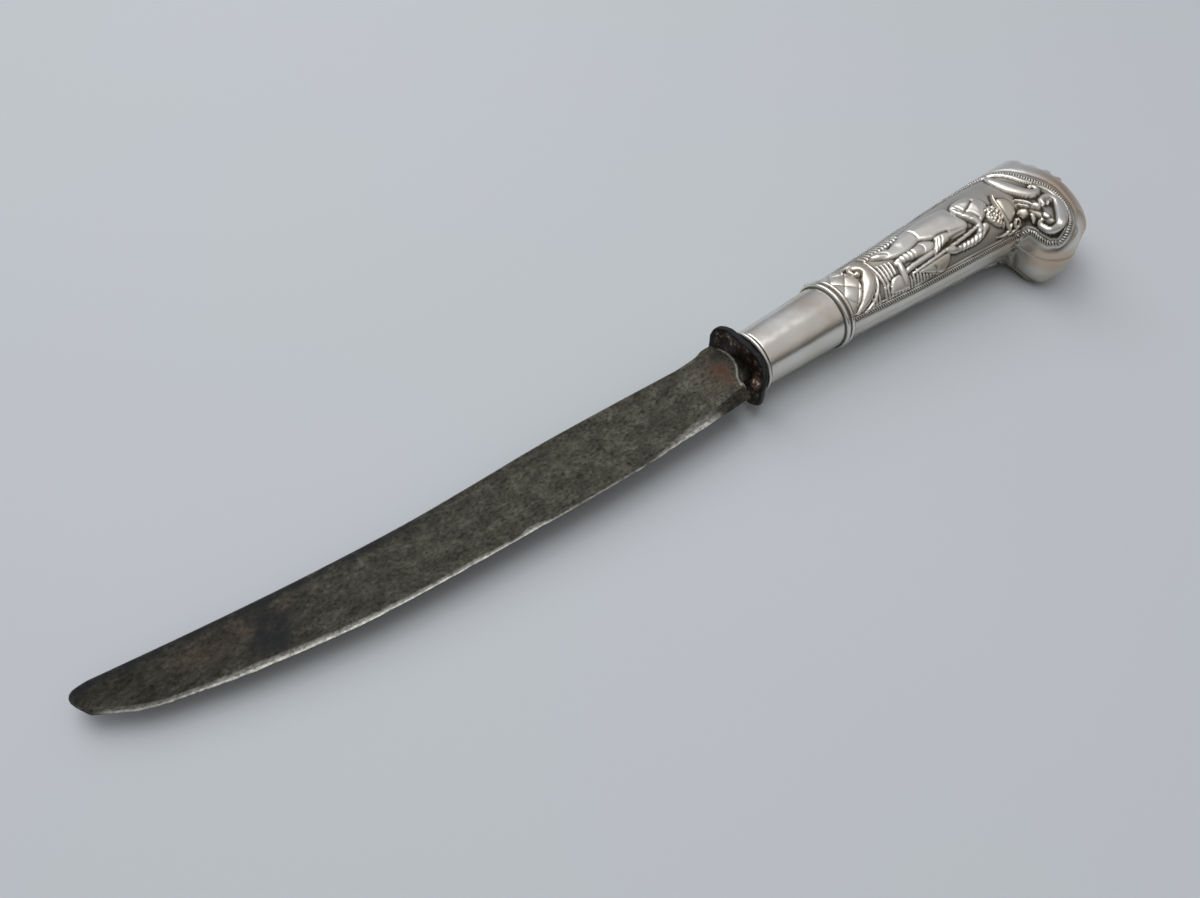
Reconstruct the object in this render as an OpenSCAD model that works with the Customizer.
/* [Blade] */
// Distance from the blade's shoulder line to its tip
blade_len = 162; // [140:1:180]
// Thickness along the spine at the shoulder end
spine_thick = 2.3; // [2.2:0.1:3]
// Thickness along the spine at the tip
tip_thick = 1.5; // [1.5:0.1:2]
// Fall of each flank toward the edge, per millimetre of width
flank_fall = 0.035; // [0.02:0.005:0.038]
// Angle of the ground bevel along the edge
bevel_angle = 18; // [10:1:22]
// Thickness of the swelling at the blade's shoulder
swell_thick = 5.2; // [4:0.2:6]
// Half width of the neck between shoulder and guard
neck_half_w = 6; // [5:0.5:6.5]
// Length of the tang behind the guard
tang_len = 90; // [60:1:95]

/* [Guard and ferrule] */
// Thickness of the iron guard plate
guard_thick = 2.5; // [1.8:0.1:3]
// Radius of the guard plate's round middle
guard_r = 8.4; // [8.2:0.1:9]
// Half span of the guard plate across its two tabs
guard_half_span = 10.4; // [9.8:0.1:11.6]
// Radius of the ferrule's front end
ferrule_front_r = 7.7; // [7.2:0.1:8]
// Radius of the ferrule where the handle ring covers it
ferrule_back_r = 8.5; // [8.3:0.1:8.7]
// Visible length of the ferrule
ferrule_len = 24.4; // [20:0.2:28]
// Wall of the ferrule tube
ferrule_wall = 1.1; // [1.1:0.1:1.6]

/* [Handle] */
// Length of the grip from the ring to the notch under the hooked end
grip_len = 62.7; // [58:0.5:70]
// Length of the hooked end behind the notch
head_len = 27.5; // [26:0.5:30]
// Half thickness of the handle where the grip meets its hooked end
head_half = 10.9; // [10:0.1:12]
// Half thickness of the head where it runs out from the hook to the butt
butt_half = 8; // [7:0.1:9]
// Depth of the hook below the knife's axis
hook_depth = 24.9; // [24:0.1:27]
// Wall of the stamped silver shells
shell_wall = 0.9; // [0.6:0.1:1]
// Height of the scallops on the butt, from dip to top
scallop_h = 0.9; // [0.4:0.1:1.2]
// Half width of the raised moulding around the panel on each side
bead_half = 0.6; // [0.4:0.1:0.8]
// Depth of the grooves on either side of that moulding
bead_groove = 0.35; // [0.2:0.05:0.4]

/* [Hidden] */
$fn = 96;

// Stations along the knife's axis, from the ring's front edge at zero
disc_thick = 0.7;
disc_r = ferrule_front_r + 0.3;
guard_back_s = -ferrule_len - disc_thick;
guard_front_s = guard_back_s - guard_thick;
shoulder_s = guard_front_s - 1.2;
tip_s = shoulder_s - blade_len - 1;
sleeve_len = 3.4;
sleeve_wall = 0.35;
sleeve_r = ferrule_back_r + sleeve_wall;
joint_s = sleeve_len / 2;
front_wire_r = 0.6;
back_wire_r = 0.5;
front_wire_s = 0.75;
back_wire_s = 2.55;
ring_r = sleeve_r + front_wire_r;

// Section of the grip: mouth radius, growth of the back and of the belly over the grip
mouth_r = ferrule_back_r;
back_growth = 2.4;
belly_growth = 4.3;
section_power = 2.1;

// Plan of the hooked end: butt arc, hook front arc and the corner at the back
hook_front_r = 7.8;
butt_r = 19.6;
butt_c = [grip_len + head_len - butt_r, -5.2];
corner_r = 3.4;
corner_c = [grip_len + head_len - 8.2, 8.3];
butt_roll = 12.5;
butt_thinning = 0.7;
hook_roll = 3;
scallop_pitch = 5;
scallop_first = -0.7;

// Remaining thickness at the very edge, the spine's line that a flank starts from, and the
// lens of the shoulder's swelling
edge_thick = 0.2;
flank_w = 9.7;
swell_c = [shoulder_s - 2.5, 1];
swell_ball_r = 42;
shoulder_r = 9.2;

// Tang and slots
tang_w = 7;
tang_h = 4;
tang_end = 0.45;
tang_straight = 0.45;

function smooth(x, a, b) = let(t = min(max((x - a) / (b - a), 0), 1)) t * t * (3 - 2 * t);
function mix(a, b, t) = a + (b - a) * t;
function around(r, a) = r * [cos(a), sin(a)];
function arc(c, r, a0, a1, n) = [for (i = [0:n]) c + around(r, mix(a0, a1, i / n))];

// One point of a smooth curve through a list of points
function curve_at(p, t) =
    let(n = len(p) - 1, i = min(floor(t * n), n - 1), u = t * n - i,
        a = p[max(i - 1, 0)], b = p[i], c = p[i + 1], d = p[min(i + 2, n)])
    0.5 * (2 * b + (c - a) * u + (2 * a - 5 * b + 4 * c - d) * u * u
           + (3 * b - a - 3 * c + d) * u * u * u);
function curve(p, n) = [for (i = [0:n]) curve_at(p, i / n)];

// The blade's plan: spine and edge as smooth curves, tip and shoulder as arcs
function along(f, w) = [mix(shoulder_s, tip_s, f), w];
spine_knots = [along(0.06, 8.1), along(0.2, 9.2), along(0.33, 9.9), along(0.45, 9.8),
               along(0.56, 10), along(0.7, 11.4), along(0.84, 13.6), along(0.975, 16.2)];
edge_knots = [along(0.985, 8.9), along(0.93, 3.6), along(0.87, 0.6), along(0.79, -2.5), along(0.65, -6.3),
              along(0.47, -8.2), along(0.28, -9.6), along(0.14, -9.6), along(0.03, -9)];
spine_line = curve(spine_knots, 21);
edge_line = curve(edge_knots, 24);
shoulder_arc = arc([shoulder_s - shoulder_r, 3.2], shoulder_r, -48, 39, 10);
tip_line = [along(0.993, 15.9), along(1, 14.8), along(0.998, 12.6)];
blade_plan = concat(spine_line, tip_line, edge_line, [[shoulder_s - 4.2, -9.2], [shoulder_s - 3.8, -6]],
                    shoulder_arc, [[shoulder_s - 5.2, 8.6]]);

// The grip's two side lines and the whole handle outline, walked from belly to back
function growth(s) = max(s - sleeve_len, 0) / (grip_len - sleeve_len);
function back_w(s) = mouth_r + back_growth * growth(s);
function belly_w(s) = -(mouth_r + belly_growth * pow(growth(s), 0.85));
function axis_w(s) = (back_w(s) + belly_w(s)) / 2;
function half_w(s) = (back_w(s) - belly_w(s)) / 2;
grip_steps = 13;
grip_end = grip_len - 0.9;
grip_s = [for (i = [0:grip_steps]) mix(joint_s, grip_end, i / grip_steps)];
hook_c = [grip_len + hook_front_r, hook_front_r - hook_depth];
butt_end = butt_c + around(butt_r, -10);
butt_bulge = [butt_end[0] + 0.9, 1];
corner_start = corner_c + around(corner_r, 20);
function butt_point(t) = mix(mix(butt_end, butt_bulge, t), mix(butt_bulge, corner_start, t), t);
hook_outline = concat([[grip_len, belly_w(grip_len) - 0.5]],
                      arc(hook_c, hook_front_r, 180, 297, 11), arc(butt_c, butt_r, -52, -10, 7));
butt_outline = [for (i = [1:13]) butt_point(i / 14)];
corner_outline = arc(corner_c, corner_r, 20, 74, 4);
back_steps = 4;
back_outline = [for (i = [0:back_steps])
    let(s = mix(corner_c[0] - corner_r, grip_end + 3, i / back_steps)) [s, back_w(s)]];
head_outline = concat(hook_outline, butt_outline, corner_outline, back_outline);
outline = concat([for (s = grip_s) [s, belly_w(s)]], head_outline,
                 [for (i = [grip_steps:-1:0]) [grip_s[i], back_w(grip_s[i])]]);
loop_n = len(outline);

// Each outline point has a partner on the middle line, shared by the whole hooked end
head_mid = [grip_len + 11.5, -5.5];
mids = concat([for (s = grip_s) [s, axis_w(s)]], [for (p = head_outline) head_mid],
              [for (i = [grip_steps:-1:0]) [grip_s[i], axis_w(grip_s[i])]]);

// Distance from a plan point to the outline
function to_segment(p, a, b) =
    let(ab = b - a, t = min(max(((p - a) * ab) / (ab * ab), 0), 1)) norm(p - a - t * ab);
function edge_distance(p) = min([for (i = [0:loop_n - 2]) to_segment(p, outline[i], outline[i + 1])]);

// Half thickness over the plan, and how far in from the outline it is reached
function crown(p) =
    mix(mouth_r, head_half, smooth(p[0], 0, grip_len))
    - butt_thinning * smooth(p[0], grip_len + 2, grip_len + 21) * smooth(p[1], -14, 4)
    - (head_half - butt_half) * smooth(p[0], grip_len + 3, grip_len + 21) * (1 - smooth(p[1], -16, 0));
function roll(p) =
    let(grip_roll = half_w(min(p[0], grip_len)),
        head_roll = mix(grip_roll, butt_roll, smooth(p[0], grip_len - 2, grip_len + 15)),
        hook = smooth(p[0], grip_len - 3, grip_len + 4) * smooth(-p[1], 5, 13)
               * (1 - smooth(p[0] + 0.6 * p[1], grip_len - 12, grip_len + 10)))
    mix(head_roll, hook_roll, hook);
function height_at(p, d) =
    let(t = min(d / roll(p), 1)) crown(p) * pow(1 - pow(1 - t, section_power), 1 / section_power);

// The moulding around the panel, walked from the ring along the belly, round the head and back
border_knots = [[1, -7.6], [11.8, -8.7], [25.7, -9.9], [40.2, -10.9], [55.4, -11.8], [61, -12.1],
                [63.1, -13], [63.9, -14.4], [63.8, -17], [64, -19.7], [65.2, -21.9], [67.2, -22.2],
                [69.8, -20.4], [75.2, -16.1], [77.6, -12.2], [77.9, -8.5], [76.2, -4.3], [74.4, -0.4],
                [73.1, 3.5], [70.8, 6.9], [66, 8.8], [55, 9.7], [40, 9.2], [25, 8.6], [11, 8], [1, 7.4]];
border = curve(border_knots, 75);
border_least = 0.05;

// Share of the way from an outline point to its partner at which the border is met
function crossing(o, m, a, b) =
    let(r = m - o, e = b - a, oa = a - o, det = r[0] * e[1] - r[1] * e[0],
        t = (oa[0] * e[1] - oa[1] * e[0]) / det, u = (oa[0] * r[1] - oa[1] * r[0]) / det)
    u >= 0 && u <= 1 && t > 0 && t < 1 ? t : 1;
function border_share(i) =
    let(t = min([for (j = [0:len(border) - 2]) crossing(outline[i], mids[i], border[j], border[j + 1])]))
    t < 1 ? max(t, border_least) : border_least;

// A point of the plain half surface, with the butt's scallops, at a share of the way in
function outward(i) =
    let(t = outline[min(i + 1, loop_n - 1)] - outline[max(i - 1, 0)]) [t[1], -t[0]] / norm(t);
function scallop(p, share) =
    p[0] < corner_c[0] - 1 || p[1] < scallop_first - scallop_pitch ? 0
    : scallop_h * (abs(cos(180 * (p[1] - scallop_first) / scallop_pitch)) - 0.6)
      * (1 - smooth(share, 0.08, 0.2));
function plain_point(i, share) =
    let(o = outline[i], p = mix(o, mids[i], share), q = p + outward(i) * scallop(o, share))
    [q[0], q[1], share == 0 ? 0 : height_at(p, edge_distance(p))];

// Rings of that surface: in from the seam to the moulding, over it, and on to the middle line
outer_n = 5;
inner_n = 5;
ring_n = outer_n + 2 + inner_n;
shares = [for (i = [0:loop_n - 1]) border_share(i)];
half_shares = [for (i = [0:loop_n - 1])
    let(b = shares[i], step = b / 10, run = norm(plain_point(i, b + step) - plain_point(i, b - step)))
    min(bead_half * 2 * step / run, b / 2)];
function ring_share(i, k) =
    k <= outer_n ? (shares[i] - half_shares[i]) * pow(k / outer_n, 2.2)
    : k == outer_n + 1 ? shares[i]
    : mix(shares[i] + half_shares[i], 1, pow((k - outer_n - 2) / inner_n, 1.7));
plain = [for (i = [0:loop_n - 1]) [for (k = [0:ring_n]) plain_point(i, ring_share(i, k))]];

// The same surface moved in: by the grooves beside the moulding, and by the wall
function below(v) = [v[0], v[1], -v[2]];
function skin_normal(i, k) =
    let(along_i = plain[min(i + 1, loop_n - 1)][k] - plain[max(i - 1, 0)][k],
        up_k = plain[i][min(k + 1, ring_n)] - (k == 0 ? below(plain[i][1]) : plain[i][k - 1]),
        n = cross(along_i, up_k))
    n / max(norm(n), 0.0001);
function at_mouth(i, n) = i == 0 || i == loop_n - 1 ? [0, n[1], n[2]] / norm([n[1], n[2]]) : n;
function moved_in(i, k, deep) =
    k == ring_n ? plain[i][k] - [0, 0, deep]
    : let(v = plain[i][k] - deep * at_mouth(i, skin_normal(i, k))) k == 0 ? [v[0], v[1], 0] : v;
function groove_depth(i, k) =
    k != outer_n && k != outer_n + 2 ? 0
    : bead_groove * smooth(plain[i][k][0], sleeve_len - 1, sleeve_len + 2);
skin = [for (i = [0:loop_n - 1]) [for (k = [0:ring_n]) moved_in(i, k, groove_depth(i, k))]];
lining = [for (i = [0:loop_n - 1]) [for (k = [0:ring_n]) moved_in(i, k, shell_wall)]];

// Lying pose: the front wire and the thickest part of the grip touch the table
tilt = max([for (s = grip_s) if (s > 20) atan((crown([s, 0]) - ring_r) / (s - front_wire_s))]);
axis_height = ring_r * cos(tilt) - front_wire_s * sin(tilt);
centre_s = (tip_s + grip_len + head_len) / 2;
centre_w = (spine_knots[len(spine_knots) - 1][1] - hook_depth) / 2;

// Corner numbers of a surface: the middle line is shared by both sides
function mid_number(i) =
    i <= grip_steps ? i : i >= loop_n - 1 - grip_steps ? loop_n - 1 - i : grip_steps + 1;
function number(i, k, base, seam) =
    k == 0 ? seam + i * ring_n : base + (k < ring_n ? i * ring_n + k : loop_n * ring_n + mid_number(i));
surface_count = loop_n * ring_n + grip_steps + 2;
function surface_points(g) =
    concat([for (i = [0:loop_n - 1]) for (k = [0:ring_n - 1]) g[i][k]],
           [for (i = [0:grip_steps + 1]) g[i][ring_n]]);
function turned(f, flip) = flip ? [f[2], f[1], f[0]] : f;
function surface_faces(base, seam, flip) =
    [for (i = [0:loop_n - 2]) for (k = [0:ring_n - 1])
        let(a = number(i, k, base, seam), b = number(i + 1, k, base, seam),
            c = number(i + 1, k + 1, base, seam), d = number(i, k + 1, base, seam))
        for (f = c == d ? [[a, c, b]] : [[a, d, b], [b, d, c]]) turned(f, flip)];

// A strip between two rows of corners, and the rows along the seam and around the mouth
function strip(a, b) =
    [for (i = [0:len(a) - 2]) for (f = [[a[i], b[i], a[i + 1]], [a[i + 1], b[i], b[i + 1]]]) f];
function seam_row(base) = [for (i = [0:loop_n - 1]) number(i, 0, base, base)];
function mouth_row(base, seam) =
    concat([for (k = [0:ring_n]) number(0, k, base, seam)],
           [for (k = [ring_n - 1:-1:0]) number(loop_n - 1, k, base, seam)]);

// The knife is drawn about its own axis and laid on the table last
module lying() {
    translate([-centre_s, -centre_w, axis_height]) rotate([0, -tilt, 0]) children();
}

// Height over width, drawn out along the knife's axis
module along_axis(from, to) {
    translate([from, 0, 0]) rotate([90, 0, 90]) linear_extrude(to - from) children();
}

// Radius over station, turned about the knife's axis
module turned_piece() {
    rotate([0, 90, 0]) rotate_extrude() children();
}

module tang() {
    straight_end = guard_front_s + tang_len * tang_straight;
    taper_len = tang_len * (1 - tang_straight);
    along_axis(guard_front_s - 1, straight_end) square([tang_w, tang_h], center = true);
    translate([straight_end, 0, -tang_h / 2]) linear_extrude(tang_h)
        polygon([[0, -tang_w / 2], [taper_len, -tang_w * tang_end / 2],
                 [taper_len, tang_w * tang_end / 2], [0, tang_w / 2]]);
}

// Everything above one flank, a plane that falls toward the tip and toward the edge
module above_flank() {
    spine_drift = spine_knots[len(spine_knots) - 1][1] - flank_w;
    rise = (spine_thick / 2 + flank_fall * spine_drift - tip_thick / 2) / blade_len;
    translate([shoulder_s, flank_w, spine_thick / 2])
        rotate([0, -atan(rise), 0]) rotate([atan(flank_fall), 0, 0])
        translate([-blade_len - 20, -40, 0]) cube([blade_len + 40, 80, 10]);
}

// The ground bevel over one stretch of the edge
module above_bevel(a, b) {
    run = b - a;
    translate([a[0], a[1], edge_thick / 2]) rotate([bevel_angle, 0, atan2(run[1], run[0])])
        translate([-1, -1, 0]) cube([norm(run) + 2, 9, 4]);
}

module both_sides() {
    children();
    mirror([0, 0, 1]) children();
}

module blade() {
    color([0.27, 0.25, 0.23]) lying() {
        difference() {
            translate([0, 0, -4]) linear_extrude(8) polygon(blade_plan);
            both_sides() above_flank();
            both_sides() for (i = [0:len(edge_line) - 2]) above_bevel(edge_line[i], edge_line[i + 1]);
        }
        // The swelling at the shoulder is the lens between two large balls, cut to the plan
        intersection() {
            translate([swell_c[0] - 13, -20, -4]) cube([13 + 4, 40, 8]);
            translate([0, 0, -4]) linear_extrude(8) polygon(blade_plan);
            translate([swell_c[0], swell_c[1], swell_thick / 2 - swell_ball_r]) sphere(swell_ball_r);
            translate([swell_c[0], swell_c[1], swell_ball_r - swell_thick / 2]) sphere(swell_ball_r);
        }
        along_axis(swell_c[0] - 1, guard_front_s) {
            square([2 * neck_half_w - swell_thick, swell_thick - 0.4], center = true);
            for (side = [-1, 1])
                translate([side * (neck_half_w - swell_thick / 2), 0]) circle(swell_thick / 2 - 0.2);
        }
        tang();
    }
}

// Forward sweep of the guard's two tabs, more on the edge side
function tab_sweep(w) = (w > 0 ? 2.2 : 3.4) * pow(max(abs(w) - 6, 0) / (guard_half_span - 6), 1.6);

// The same corners on the other side, in the order that closes an outline
function facing(corners) = [for (i = [len(corners) - 1:-1:0]) [corners[i][0], -corners[i][1]]];

module guard_plate() {
    tab_corners = [[guard_r / 2, guard_r * 0.86], [guard_half_span - 1, 5.9], [guard_half_span, 3.6]];
    tab_w = [for (i = [-8:8]) i * (guard_half_span + 0.4) / 8];
    color([0.2, 0.17, 0.15]) lying() difference() {
        intersection() {
            translate([0, 0, -guard_r - 1]) linear_extrude(2 * guard_r + 2)
                polygon(concat([for (w = tab_w) [guard_back_s - tab_sweep(w), w]],
                               [for (w = tab_w) [guard_front_s - tab_sweep(-w), -w]]));
            union() {
                along_axis(guard_front_s - 6, guard_back_s + 1) circle(guard_r);
                along_axis(guard_front_s - 6, guard_back_s + 1)
                    polygon(concat(tab_corners, facing(tab_corners), -tab_corners,
                                   -facing(tab_corners)));
            }
        }
        along_axis(guard_front_s - 6, guard_back_s + 2) square([tang_w, tang_h], center = true);
    }
}

module closing_disc() {
    color([0.8, 0.79, 0.76]) lying() difference() {
        along_axis(guard_back_s, -ferrule_len) circle(disc_r);
        along_axis(guard_back_s - 1, 1 - ferrule_len) square([tang_w, tang_h], center = true);
    }
}

module ferrule() {
    color([0.72, 0.71, 0.68]) lying() turned_piece()
        polygon([[ferrule_front_r - ferrule_wall, -ferrule_len], [ferrule_front_r, -ferrule_len],
                 [ferrule_back_r, 0], [ferrule_back_r, joint_s],
                 [ferrule_back_r - ferrule_wall, joint_s], [ferrule_back_r - ferrule_wall, 0]]);
}

module ring_sleeve() {
    color([0.7, 0.69, 0.66]) lying() turned_piece()
        translate([ferrule_back_r, 0]) square([sleeve_wall, sleeve_len]);
}

module half_round_wire(s, r) {
    lying() turned_piece() intersection() {
        translate([sleeve_r, s]) circle(r);
        translate([sleeve_r, s - r]) square([r, 2 * r]);
    }
}

module ring_front_wire() {
    color([0.82, 0.81, 0.78]) half_round_wire(front_wire_s, front_wire_r);
}

module ring_back_wire() {
    color([0.82, 0.81, 0.78]) half_round_wire(back_wire_s, back_wire_r);
}

module half_shell() {
    inner = surface_count;
    polyhedron(points = concat(surface_points(skin), surface_points(lining)),
               faces = concat(surface_faces(0, 0, false), surface_faces(inner, inner, true),
                              strip(seam_row(inner), seam_row(0)),
                              strip(mouth_row(0, 0), mouth_row(inner, inner))),
               convexity = 8);
}

module shell_upper() {
    color([0.75, 0.74, 0.71]) lying() half_shell();
}

module shell_lower() {
    color([0.68, 0.67, 0.64]) lying() mirror([0, 0, 1]) half_shell();
}

// The filling of the shells: both linings share the seam row and close over the mouth
module shell_filling() {
    lower = surface_count;
    upper_points = surface_points(lining);
    upper_mouth = mouth_row(0, 0);
    lower_mouth = mouth_row(lower, 0);
    polyhedron(points = concat(upper_points, [for (v = upper_points) below(v)]),
               faces = concat(surface_faces(0, 0, false), surface_faces(lower, 0, true),
                              [concat([for (i = [len(upper_mouth) - 1:-1:0]) upper_mouth[i]],
                                      [for (i = [1:len(lower_mouth) - 2]) lower_mouth[i]])]),
               convexity = 8);
}

module pitch_core() {
    filling_back_r = ferrule_back_r - ferrule_wall;
    color([0.1, 0.08, 0.07]) lying() difference() {
        union() {
            shell_filling();
            turned_piece()
                polygon([[0, -ferrule_len], [ferrule_front_r - ferrule_wall, -ferrule_len],
                         [filling_back_r, 0], [filling_back_r, joint_s + 0.6], [0, joint_s + 0.6]]);
        }
        tang();
    }
}

blade();
guard_plate();
closing_disc();
ferrule();
ring_sleeve();
ring_front_wire();
ring_back_wire();
shell_upper();
shell_lower();
pitch_core();
